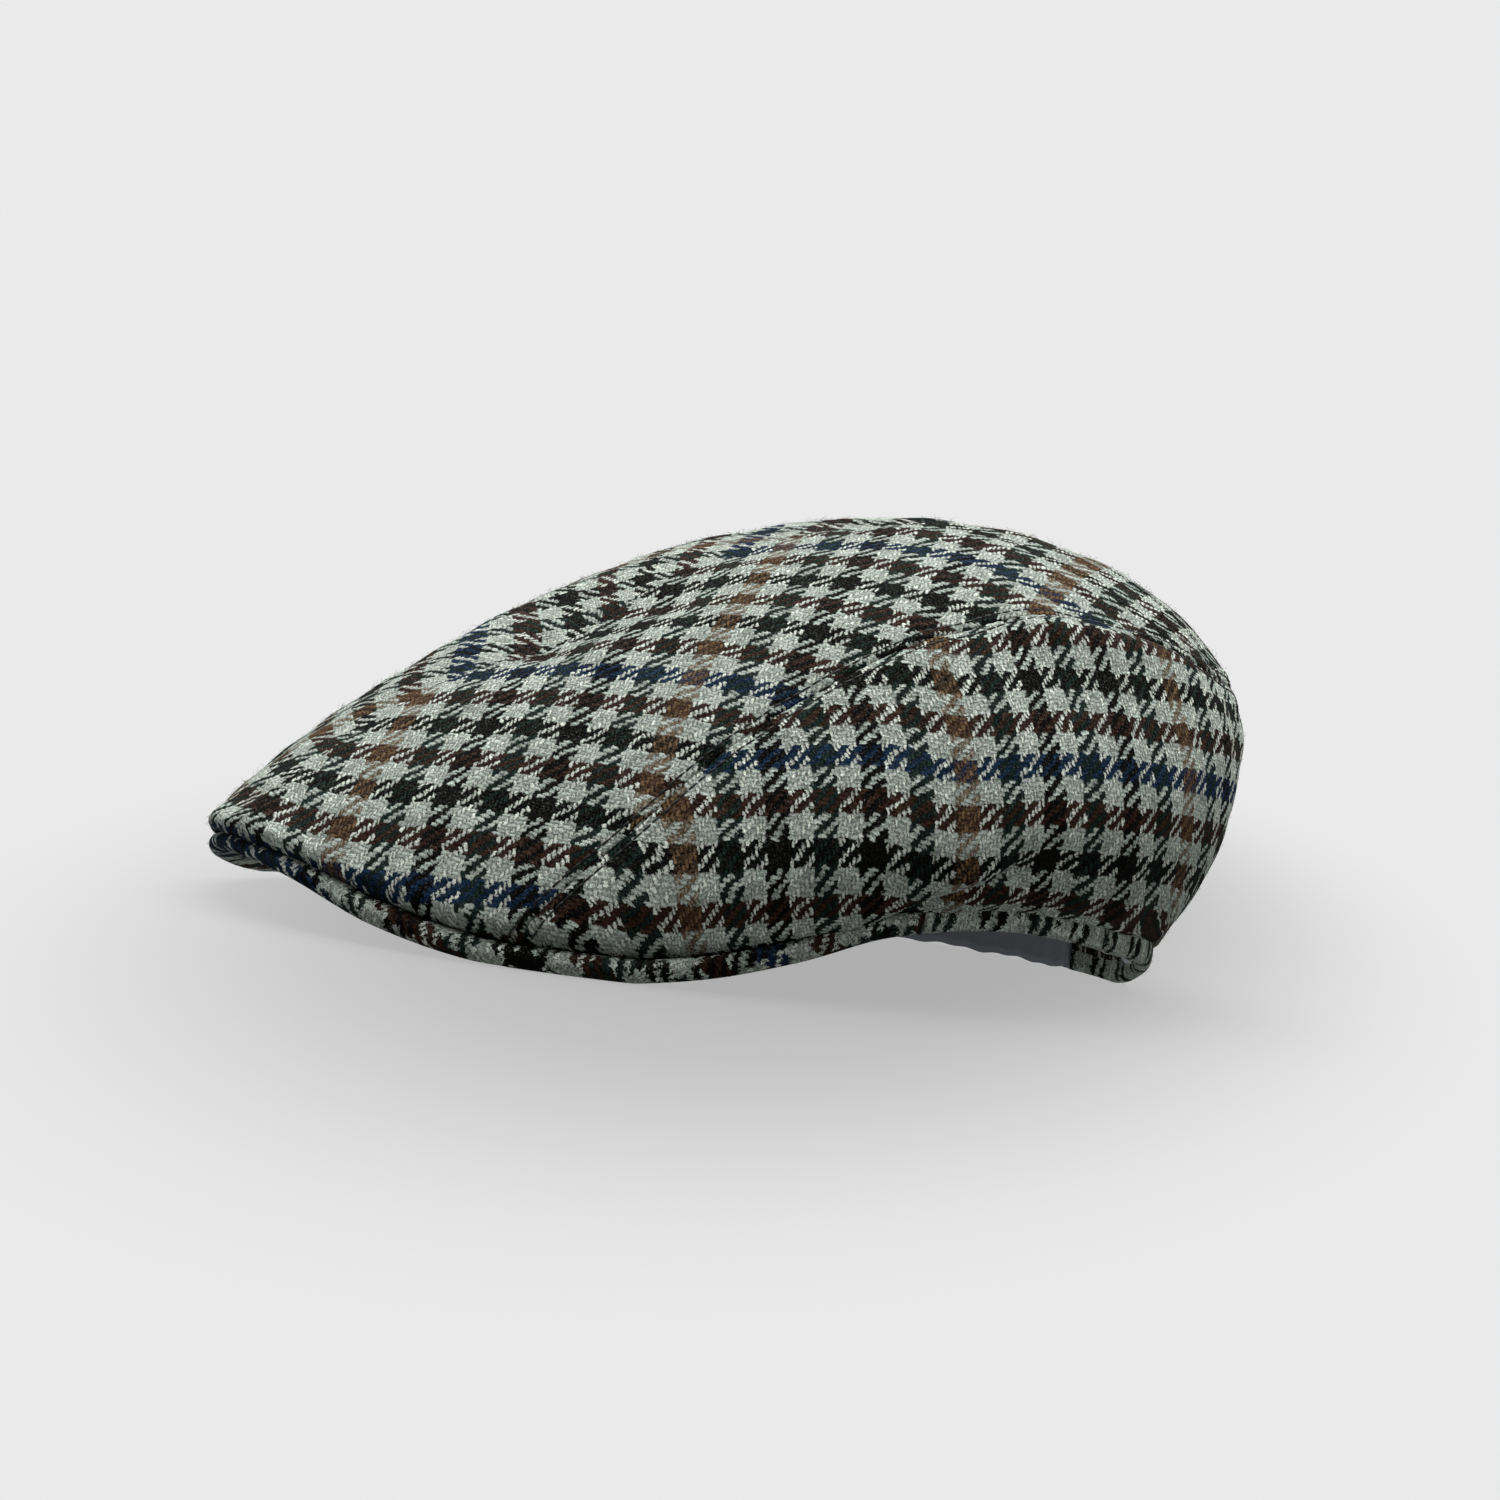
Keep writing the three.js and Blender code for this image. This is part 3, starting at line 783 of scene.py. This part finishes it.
def rim_profile(b):
    inside, low = reach(OPENING, b) + STRIP_OUT - STRIP, hem(b)
    outer = edge_reach(b) + 2.0 * (1 - rising(abs(b - 180), 45, 25))  # fuller at the back
    middle, across, tall = (outer + inside) / 2, (outer - inside) / 2, HEM + 2.7
    turn = np.radians(np.linspace(0, 360, 21)[:-1])
    c, s = np.cos(turn), np.sin(turn)
    r = middle + across * np.sign(c) * np.abs(c) ** 0.7
    z = low + tall / 2 + tall / 2 * np.sign(s) * np.abs(s) ** 0.75
    # behind the roll its inner edge stands up inside the crown
    tongue = (turn > 1.7) & (turn < 3.0)
    z = z + np.where(tongue, 2.5, 0)
    r = np.where(tongue, np.clip(r, inside, inside + 1.3), r)
    threads_x = np.interp(b, hem_b, hem_run) / BAND_MM * BAND_THREADS + 6.3 + 0 * r
    threads_y = 27.3 + 1.6 * (np.pi - np.abs(turn - np.pi))
    return np.stack([r, z, threads_x, threads_y], -1)


rim = strip("rim_roll", hem_b, rim_profile, edge_wool)
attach(rim, "root")
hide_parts("rim_band")


# ---- Sweatband: smooth ribbon round the inside, open at the back ----
BAND_SAG = 13.8  # how much lower it hangs on the right
BAND_ENDS = (-171, 149)


def band_profile(b):
    face = reach(OPENING, b) + STRIP_OUT - STRIP - GAP
    sag = BAND_SAG * eased(rising(-b, 80, 40))
    lifted = 7 * rising(b, 137, 12) ** 2  # its left end narrows upwards
    low = 0.5 + max(0, float(opening_z(b)) - sag) + 0.25 * np.sin(b / 3.1) + 0.2 * np.sin(b / 1.3)
    heights = np.linspace(low + lifted, low + BAND_TALL - 0.4, 15)
    ripple = 0.12 * np.sin(b / 1.7 + heights / 6) + 0.1 * np.sin(b / 0.9)
    outer = np.stack([face + 0 * heights, heights], -1)
    inner = np.stack([face - BAND_THICK + ripple - 0.1, heights], -1)[::-1]
    # a sewn line near the lower edge
    inner[:, 0] += 0.35 * hill(inner[:, 1] - low - lifted - 3, 0.8)
    ring = np.concatenate([outer, inner])[::-1]
    return np.column_stack([ring, ring * 0])


band = strip("sweatband_ribbon", np.linspace(*BAND_ENDS, 340), band_profile, satin)
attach(band, "root")
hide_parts("sweatband")


# ---- Topstitching: a row each side of the side seam ----
STITCH, PITCH = 3.0, 3.2  # length of a stitch, and from one to the next
# share of the way along, radius, height over the cloth: the ends dip in
STITCH_SHAPE = [(0.0, 0.05, -0.2), (0.1, 0.26, 0.04), (0.5, 0.3, 0.14), (0.9, 0.26, 0.04), (1.0, 0.05, -0.2)]
STITCH_SIDES = 6


def stitch_row(offset):
    """Start, end and outward direction of each stitch on the left."""
    line = spread(seam_flat, 1500)
    way = np.gradient(line, axis=0)
    way /= np.linalg.norm(way, axis=1, keepdims=True)
    from_seam = np.stack([way[:, 1], -way[:, 0]], -1)
    row = line - from_seam * offset
    row = row[(np.hypot(*row.T) > 1) & (row[:, 0] > 0.5)]
    row = row[flat_place(*row.T)[1] > 0.01]
    p = plain_flat(*row.T)
    n = out_of(p, *row.T)
    p = p + n * (proud(p, *flat_place(*row.T), True) + 0.02)[:, None]
    s = np.r_[0, np.cumsum(np.linalg.norm(np.diff(p, axis=0), axis=1))]
    at = np.arange(STITCH / 2, s[-1] - STITCH / 2, PITCH)

    def read(grid, where):
        return np.stack([np.interp(where, s, grid[:, k]) for k in range(3)], -1)

    return read(p, at - STITCH / 2), read(p, at + STITCH / 2), read(n, at)


def one_stitch(a, b, n):
    """Rings of points along a stitch from a to b, n pointing out of the cloth."""
    way = (b - a) / np.linalg.norm(b - a)
    across = np.cross(n, way)
    across /= np.linalg.norm(across)
    points = []
    for share, wide, lift in STITCH_SHAPE:
        for w in np.arange(STITCH_SIDES) * 2 * np.pi / STITCH_SIDES:
            points.append(a + (b - a) * share + n * lift + wide * (across * np.cos(w) + n * np.sin(w)))
    return points


def stitches(name, left):
    mirror = np.array([1 if left else -1, 1, 1])
    rings = len(STITCH_SHAPE)
    end = tuple(range(STITCH_SIDES))
    far_end = tuple((rings - 1) * STITCH_SIDES + k for k in reversed(end))
    one = ring_faces(rings, STITCH_SIDES) + [end, far_end]
    points, faces = [], []
    for offset in (-STITCH_OFF, STITCH_OFF):
        for a, b, n in zip(*stitch_row(offset)):
            faces += [tuple(len(points) + k for k in f) for f in one]
            points += one_stitch(a * mirror, b * mirror, n * mirror)
    obj = build(name, np.array(points), faces)
    material_on(obj, thread)
    return obj


for side_name, left in (("left", True), ("right", False)):
    made = stitches("stitching_" + side_name, left)
    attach(made, "root")


# ---- Loose hairs of the wool ----
# points of one hair: three at its root, three at its middle and its tip
HAIR_FACES = [(0, 3, 4, 1), (1, 4, 5, 2), (2, 5, 3, 0), (3, 6, 4), (4, 6, 5), (5, 6, 3), (0, 1, 2)]
HAIR_POINTS = 7
ROOT_RADIUS, MIDDLE_RADIUS = 0.05, 0.035
ABOVE_FLOOR = 0.05


def outer_triangles(obj):
    """The corners of a piece's outer triangles in mm, and their threads."""
    mesh = obj.data
    mesh.calc_loop_triangles()
    triangles = mesh.loop_triangles
    vertices, loops = np.empty((2, len(triangles) * 3), int)
    kind = np.empty(len(triangles), int)
    triangles.foreach_get("vertices", vertices)
    triangles.foreach_get("loops", loops)
    triangles.foreach_get("material_index", kind)
    places, threads = np.empty(len(mesh.vertices) * 3), np.empty(len(mesh.loops) * 2)
    mesh.vertices.foreach_get("co", places)
    mesh.uv_layers["threads"].data.foreach_get("uv", threads)
    outer = kind == 0
    corners = places.reshape(-1, 3)[vertices.reshape(-1, 3)[outer]] / MM
    return corners, threads.reshape(-1, 2)[loops.reshape(-1, 3)[outer]]


def hairs(name, pieces, number, material):
    """Fine curved hairs rooted all over the pieces' outer cloth, in the colour of the yarn under them."""
    corners, threads = map(np.concatenate, zip(*(outer_triangles(obj) for obj in pieces)))
    normals = np.cross(corners[:, 1] - corners[:, 0], corners[:, 2] - corners[:, 0])
    area = np.linalg.norm(normals, axis=1)
    pick = rng.choice(len(area), number, p=area / area.sum())
    n = normals[pick] / area[pick, None]
    root = corners.mean(1)[pick] + rng.normal(0, 0.25, (number, 3)) - 0.1 * n
    any_way = rng.normal(0, 1, (number, 3))
    flat_way = any_way - n * (any_way * n).sum(1)[:, None]
    flat_way /= np.linalg.norm(flat_way, axis=1)[:, None]
    length = rng.uniform(0.6, 2.0, number)[:, None]
    lift = rng.uniform(0.25, 0.75, number)[:, None]
    middle = root + length * (0.5 * flat_way + lift * 0.6 * n)
    bend = rng.normal(0, 0.25, (number, 3))
    tip = root + length * (flat_way * 0.95 + n * lift * 0.75 + bend)
    across = np.cross(n, flat_way)
    points = []
    for centre_line, radius in ((root, ROOT_RADIUS), (middle, MIDDLE_RADIUS)):
        for w in (0, 2 * np.pi / 3, 4 * np.pi / 3):
            points.append(centre_line + radius * (np.cos(w) * across + np.sin(w) * n))
    points.append(tip)
    points = np.stack(points, 1).reshape(-1, 3)
    points[:, 2] = np.maximum(points[:, 2], ABOVE_FLOOR)
    faces = [tuple(HAIR_POINTS * k + v for v in f) for k in range(number) for f in HAIR_FACES]
    middle_of_thread = np.floor(threads.mean(1)[pick]) + 0.5
    obj = new_object(name, points, faces, np.repeat(middle_of_thread, HAIR_POINTS, axis=0))
    material_on(obj, material)
    return obj


crown_pieces = [o for o in bpy.context.scene.collection.objects if o.name.startswith("crown_")]
fluff = hairs("crown_hairs", crown_pieces, 12000, wool)
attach(fluff, "root")
fluff = hairs("edge_hairs", [peak, rim], 5000, edge_wool)
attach(fluff, "root")

# ---- Floor, light and camera ----
PALE = 0.823  # brightness of the floor and of the room behind it
ROOM = 0.3  # brightness of the room higher up
FLOOR_SHARE = 0.05  # of the light that the floor gives back
GLOW = 0.686  # the floor's own glow: painted light, which keeps its shadows pale
PAINTED_SHADOW = 0.38  # how much darker the painted shadow makes the floor's middle
# reach and place in m, turn in radians of the painted shadow: fitted so that the camera sees a soft dark
# ellipse under the cap
PAINTED_SHADOW_SIZE, PAINTED_SHADOW_PLACE, PAINTED_SHADOW_TURN = (0.213, 0.89, 1.0), (-0.142, 0.107, 0), 0.977
PAINTED_SHADOW_CORE = 0.27  # share of the painted shadow that is darkest


def pale_floor():
    """A pale floor with a painted soft shadow in the middle, and a glow of its own that is painted light."""
    t = Tree("pale_floor")
    where = t.node("ShaderNodeTexCoord", 3)
    in_painted_shadow = t.node("ShaderNodeMapping", 0, {"vector_type": "TEXTURE"}, Vector=where,
                     Location=PAINTED_SHADOW_PLACE, Rotation=(0, 0, PAINTED_SHADOW_TURN), Scale=PAINTED_SHADOW_SIZE)
    away = t.node("ShaderNodeVectorMath", 1, {"operation": "LENGTH"}, i0=in_painted_shadow)
    # painted shadow: the floor's colour and glow are darker in the middle
    tone = t.node("ShaderNodeMapRange", 0, {"interpolation_type": "SMOOTHERSTEP"}, Value=away,
                  i1=PAINTED_SHADOW_CORE, i2=1.0, i3=1.0 - PAINTED_SHADOW, i4=1.0)
    t.put(t.bsdf.inputs["Base Color"], t.grey(t.math("MULTIPLY", tone, FLOOR_SHARE)))
    t.bsdf.inputs["Roughness"].default_value = 1.0
    t.bsdf.inputs["Specular IOR Level"].default_value = 0.0
    # painted light: the floor glows, which keeps the shadow under the cap pale
    t.bsdf.inputs["Emission Color"].default_value = (1, 1, 1, 1)
    t.put(t.bsdf.inputs["Emission Strength"], t.math("MULTIPLY", tone, GLOW))
    return t.material


FLOOR_HALF = 90000.0  # mm, so large that it ends at the horizon
corners = np.array([(-1, -1, 0), (1, -1, 0), (1, 1, 0), (-1, 1, 0)]) * FLOOR_HALF
floor = new_object("floor", corners, [(0, 1, 2, 3)])
material_on(floor, pale_floor())

scene = bpy.context.scene
world = bpy.data.worlds.new("soft_room")
scene.world = world
world.use_nodes = True
sky = world.node_tree
sky.nodes["Background"].inputs[0].default_value = (1, 1, 1, 1)
shade = sky.nodes.new("ShaderNodeMapRange")
height = sky.nodes.new("ShaderNodeSeparateXYZ")
sky.links.new(sky.nodes.new("ShaderNodeTexCoord").outputs["Generated"], height.inputs[0])
sky.links.new(height.outputs[2], shade.inputs[0])
# as bright as the floor up to a height of 0.10, and the room's brightness from 0.35
for k, value in ((1, 0.10), (2, 0.35), (3, PALE), (4, ROOM)):
    shade.inputs[k].default_value = value
sky.links.new(shade.outputs[0], sky.nodes["Background"].inputs[1])


def look(position, toward, roll=0.0, up=(0, 0, 1.0)):
    """A place, and a turn whose -Z looks along -toward."""
    z = np.array(toward, float) / np.linalg.norm(toward)
    level = np.cross(up, z)
    level /= np.linalg.norm(level)
    x = level * np.cos(roll) + np.cross(z, level) * np.sin(roll)
    turn = np.stack([x, np.cross(z, x), z], 1)
    return Matrix([(*row, p) for row, p in zip(turn, position)] + [(0, 0, 0, 1)])


# One very wide soft light overhead. The floor then matches the room.
lamp = bpy.data.lights.new("overhead", "SUN")
overhead = (-0.28, 0.21, 1.0)
FROM_SIDES = 0.03  # what the brighter sky low down adds to the room's light
lamp.angle = np.radians(70)
lamp.energy = ((PALE - GLOW) / FLOOR_SHARE - ROOM - FROM_SIDES) * np.pi * np.linalg.norm(overhead)
lamp_object = bpy.data.objects.new("overhead", lamp)
lamp_object.matrix_world = look((0, 0, 1), overhead, up=(0, 0.1, 1.0))
scene.collection.objects.link(lamp_object)

# The camera stands to the wearer's left of the front, a little above level and rolled.
EYE = (1.4409, -0.7855, 0.1653)  # m
BEARING, ABOVE, ROLL = np.radians([61.2155, 3.9525, 7.517])
camera_data = bpy.data.cameras.new("camera")
camera_data.lens, camera_data.sensor_width = 153.6, 36
camera = bpy.data.objects.new("camera", camera_data)
toward = (np.sin(BEARING) * np.cos(ABOVE), -np.cos(BEARING) * np.cos(ABOVE), np.sin(ABOVE))
camera.matrix_world = look(EYE, toward, ROLL)
scene.collection.objects.link(camera)
scene.camera = camera
scene.view_settings.view_transform = "Standard"
